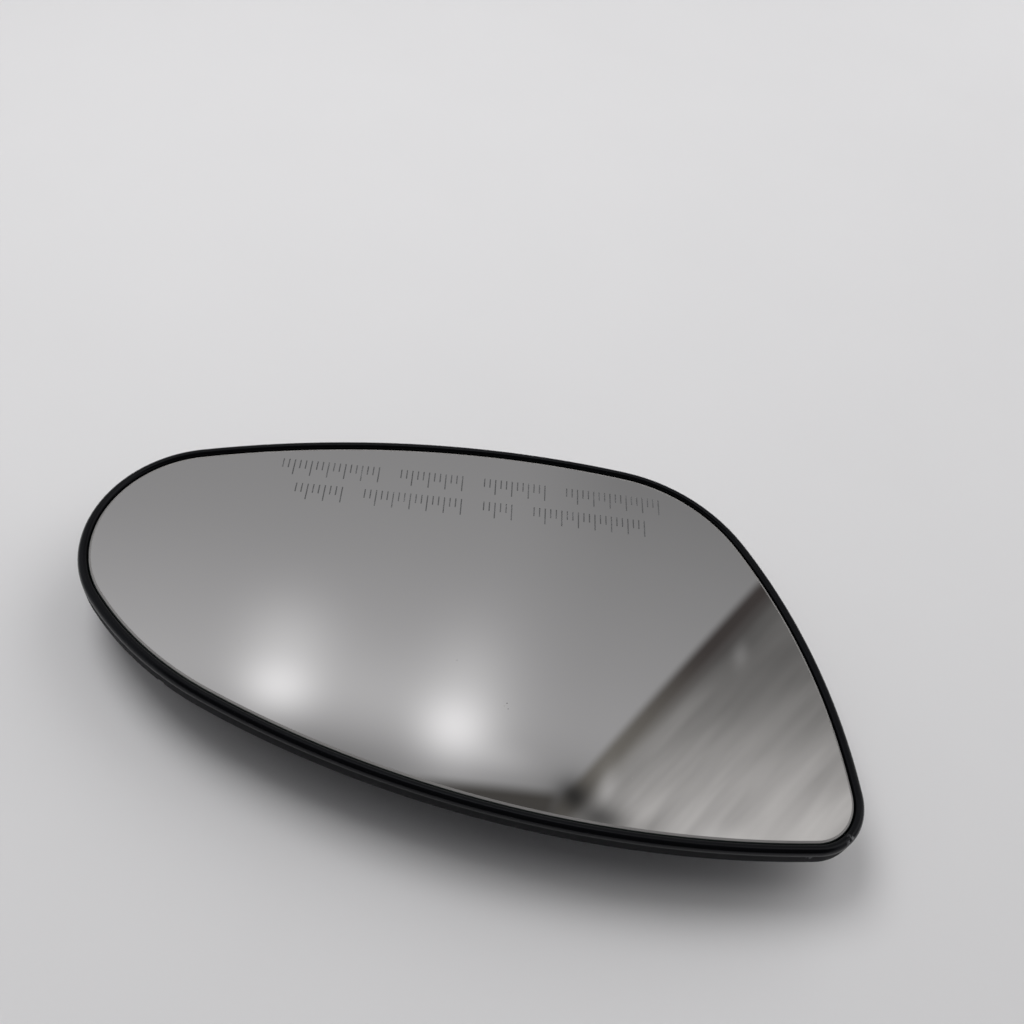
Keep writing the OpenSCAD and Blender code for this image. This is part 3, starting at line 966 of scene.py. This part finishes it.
def floor_material(looks):
    """Matt pale board with a trace of tooth."""
    material, tree, shader, where = new_material("pale_board")
    grain = placed(tree, grain_group(), Vector=where, Scale=300.0)
    feed(tree, shader, Base_Color=blend(tree, grain["Tint"], opaque(looks.floor), shaded(looks.floor, 0.97)))
    feed(tree, shader, Roughness=0.75, Specular_IOR_Level=0.2)
    feed(tree, shader, Normal=bump(tree, grain["Height"], 0.05 * MM, 0.3))
    return material


def turned_mesh(name, profile, count=96):
    """A surface turned round the Z axis from a profile of (radius, height) that runs outward."""
    mesh = bmesh.new()
    rings = []
    for radius, height in profile:
        ring = [direction(math.tau * i / count) * radius for i in range(count)]
        rings.append([mesh.verts.new((p.x, p.y, FLOOR_Z + height)) for p in ring] if radius else None)
    if rings[0] is None:
        fan(mesh, rings[1], mesh.verts.new((0, 0, FLOOR_Z + profile[0][1])))
        rings = rings[1:]
    for inner, outer in zip(rings, rings[1:]):
        bridge(mesh, outer, inner)
    mesh.normal_update()
    made = bpy.data.meshes.new(name)
    mesh.to_mesh(made)
    mesh.free()
    return made


def stage_piece(name, mesh, material):
    piece = bpy.data.objects.new(name, mesh)
    bpy.context.scene.collection.objects.link(piece)
    mesh.materials.append(material)
    return piece


def looking_at(point, target):
    return (target - point).to_track_quat("-Z", "Y")


def soft_light(name, bearing_deg, rise_deg, distance, width, power, strength):
    """A round area light that faces the middle of the part, and that the glass doesn't show."""
    lamp = bpy.data.lights.new(name, "AREA")
    lamp.shape = "DISK"
    lamp.size = width
    lamp.energy = power * strength
    light = bpy.data.objects.new(name, lamp)
    bpy.context.scene.collection.objects.link(light)
    flat, rise = math.radians(bearing_deg), math.radians(rise_deg)
    side = direction(flat) * math.cos(rise)
    light.location = LIT_MIDDLE + distance * Vector((side.x, side.y, math.sin(rise)))
    light.rotation_mode = "QUATERNION"
    light.rotation_quaternion = looking_at(light.location, LIT_MIDDLE)
    light.visible_glossy = False
    light.visible_camera = False


# Width of the sensor in millimetres
SENSOR_WIDTH = 36.0
# Nearest and farthest distance that the camera shows, in metres
CLIP = (0.01, 20.0)


def place_camera(scene, looks):
    """The camera at its viewing angle, turned about its line of sight."""
    lens = bpy.data.cameras.new("view")
    lens.lens = looks.lens
    lens.sensor_width = SENSOR_WIDTH
    lens.clip_start, lens.clip_end = CLIP
    camera = bpy.data.objects.new("view", lens)
    scene.collection.objects.link(camera)
    top = Vector((0, 0, APEX))
    point, target = top + Vector(looks.camera), top + Vector(looks.aim)
    rolled = Matrix.Rotation(looks.roll, 4, "Z").to_quaternion()
    camera.location = point
    camera.rotation_mode = "QUATERNION"
    camera.rotation_quaternion = looking_at(point, target) @ rolled
    scene.camera = camera


# Steps in the bend from the floor up into the cove
COVE_STEPS = 12


def lay_floor(looks):
    """A flat round floor, and the cove that rises round it."""
    board = floor_material(looks)
    stage_piece("floor", turned_mesh("floor", ((0.0, 0.0), (looks.floor_r, 0.0))), board)
    bend = looks.cove_h / 2
    curve = [math.pi / 2 * k / COVE_STEPS for k in range(COVE_STEPS + 1)]
    profile = [(looks.floor_r + bend * math.sin(a), bend * (1 - math.cos(a))) for a in curve]
    profile.append((looks.floor_r + bend, looks.cove_h))
    cove = stage_piece("cove", turned_mesh("cove", profile), board)
    cove.visible_glossy = False
    cove.visible_shadow = False


class MIRROR_OT_set_stage(bpy.types.Operator):
    """Place the camera at the viewing angle, the pale floor, the soft light and the room"""

    bl_idname = "mirror.set_stage"
    bl_label = "Set the stage"

    def execute(self, context):
        looks = context.scene.mirror_part.stage
        scene = context.scene
        scene.view_settings.view_transform = "Standard"
        place_camera(scene, looks)
        lay_floor(looks)
        for name, values in SOFT_LIGHTS.items():
            soft_light(name, *values, looks.light)
        scene.world = studio_world(looks)
        return {"FINISHED"}


class MIRROR_OT_grind_glass(bpy.types.Operator):
    """Make the convex glass with its ground seam and its cut edge"""

    bl_idname = "mirror.grind_glass"
    bl_label = "Grind the glass"

    def execute(self, context):
        part = context.scene.mirror_part
        makers = (mirror_material, ground_material, back_coat_material, cut_edge_material)
        finishes = [make(part.glass_looks) for make in makers]
        new_piece("convex_glass", glass_mesh(part.glass), finishes, ["mirror_glass"])
        return {"FINISHED"}


class MIRROR_OT_etch_marks(bpy.types.Operator):
    """Etch two rows of graduation marks near the far side of the glass"""

    bl_idname = "mirror.etch_marks"
    bl_label = "Etch the marks"

    def execute(self, context):
        part = context.scene.mirror_part
        finish = etched_material(part.glass_looks, "etched_mark")
        new_piece("etched_marks", etched_mesh(part.glass, part.etch), [finish])
        return {"FINISHED"}


class MIRROR_OT_drop_specks(bpy.types.Operator):
    """Drop a few crumbs of grit on the glass"""

    bl_idname = "mirror.drop_specks"
    bl_label = "Drop the specks"

    def execute(self, context):
        part = context.scene.mirror_part
        finish = etched_material(part.glass_looks, "grit")
        new_piece("glass_specks", speck_mesh(part.glass), [finish])
        return {"FINISHED"}


class MIRROR_OT_finish_plate(bpy.types.Operator):
    """Finish the moulded backing plate with its rolled rim"""

    bl_idname = "mirror.finish_plate"
    bl_label = "Finish the backing plate"

    def execute(self, context):
        part = context.scene.mirror_part
        plastic = plastic_material(part.plastic, part.glass_looks.dust, part.glass.dome_r)
        finish_node("backing_plate", plastic)
        return {"FINISHED"}


class MIRROR_OT_finish_heater(bpy.types.Operator):
    """Finish the heating film, the foam pad, the terminals and the rivets"""

    bl_idname = "mirror.finish_heater"
    bl_label = "Finish the heater"

    def execute(self, context):
        looks = context.scene.mirror_part.heater
        brass = metal_material("plated_brass", looks.brass, 0.22)
        finish_node("heater_film", film_material(looks))
        finish_node("adhesive_pad", foam_material(looks))
        finish_node("heater_terminal_near", brass)
        finish_node("heater_terminal_far", brass)
        finish_node("terminal_rivets", metal_material("rivet_steel", looks.steel, 0.3))
        return {"FINISHED"}


class MIRROR_PT_panel(bpy.types.Panel):
    """Lists the steps that dress the part"""

    bl_label = "Door mirror glass"
    bl_idname = "MIRROR_PT_panel"
    bl_space_type = "VIEW_3D"
    bl_region_type = "UI"
    bl_category = "Door mirror"

    def draw(self, context):
        for step in OPERATORS:
            self.layout.operator(step.bl_idname)


OPERATORS = (
    MIRROR_OT_set_stage,
    MIRROR_OT_grind_glass,
    MIRROR_OT_etch_marks,
    MIRROR_OT_drop_specks,
    MIRROR_OT_finish_plate,
    MIRROR_OT_finish_heater,
)
GROUPS = (GlassSizes, GlassLooks, EtchSizes, PlasticLooks, HeaterLooks, StageLooks, MirrorPart)


def register():
    for kind in (*GROUPS, *OPERATORS, MIRROR_PT_panel):
        bpy.utils.register_class(kind)
    bpy.types.Scene.mirror_part = PointerProperty(type=MirrorPart)


def unregister():
    del bpy.types.Scene.mirror_part
    for kind in (MIRROR_PT_panel, *reversed(OPERATORS), *reversed(GROUPS)):
        bpy.utils.unregister_class(kind)


def main():
    register()
    bpy.ops.mirror.set_stage()
    bpy.ops.mirror.grind_glass()
    bpy.ops.mirror.etch_marks()
    bpy.ops.mirror.drop_specks()
    bpy.ops.mirror.finish_plate()
    bpy.ops.mirror.finish_heater()


if __name__ == "__main__":
    main()
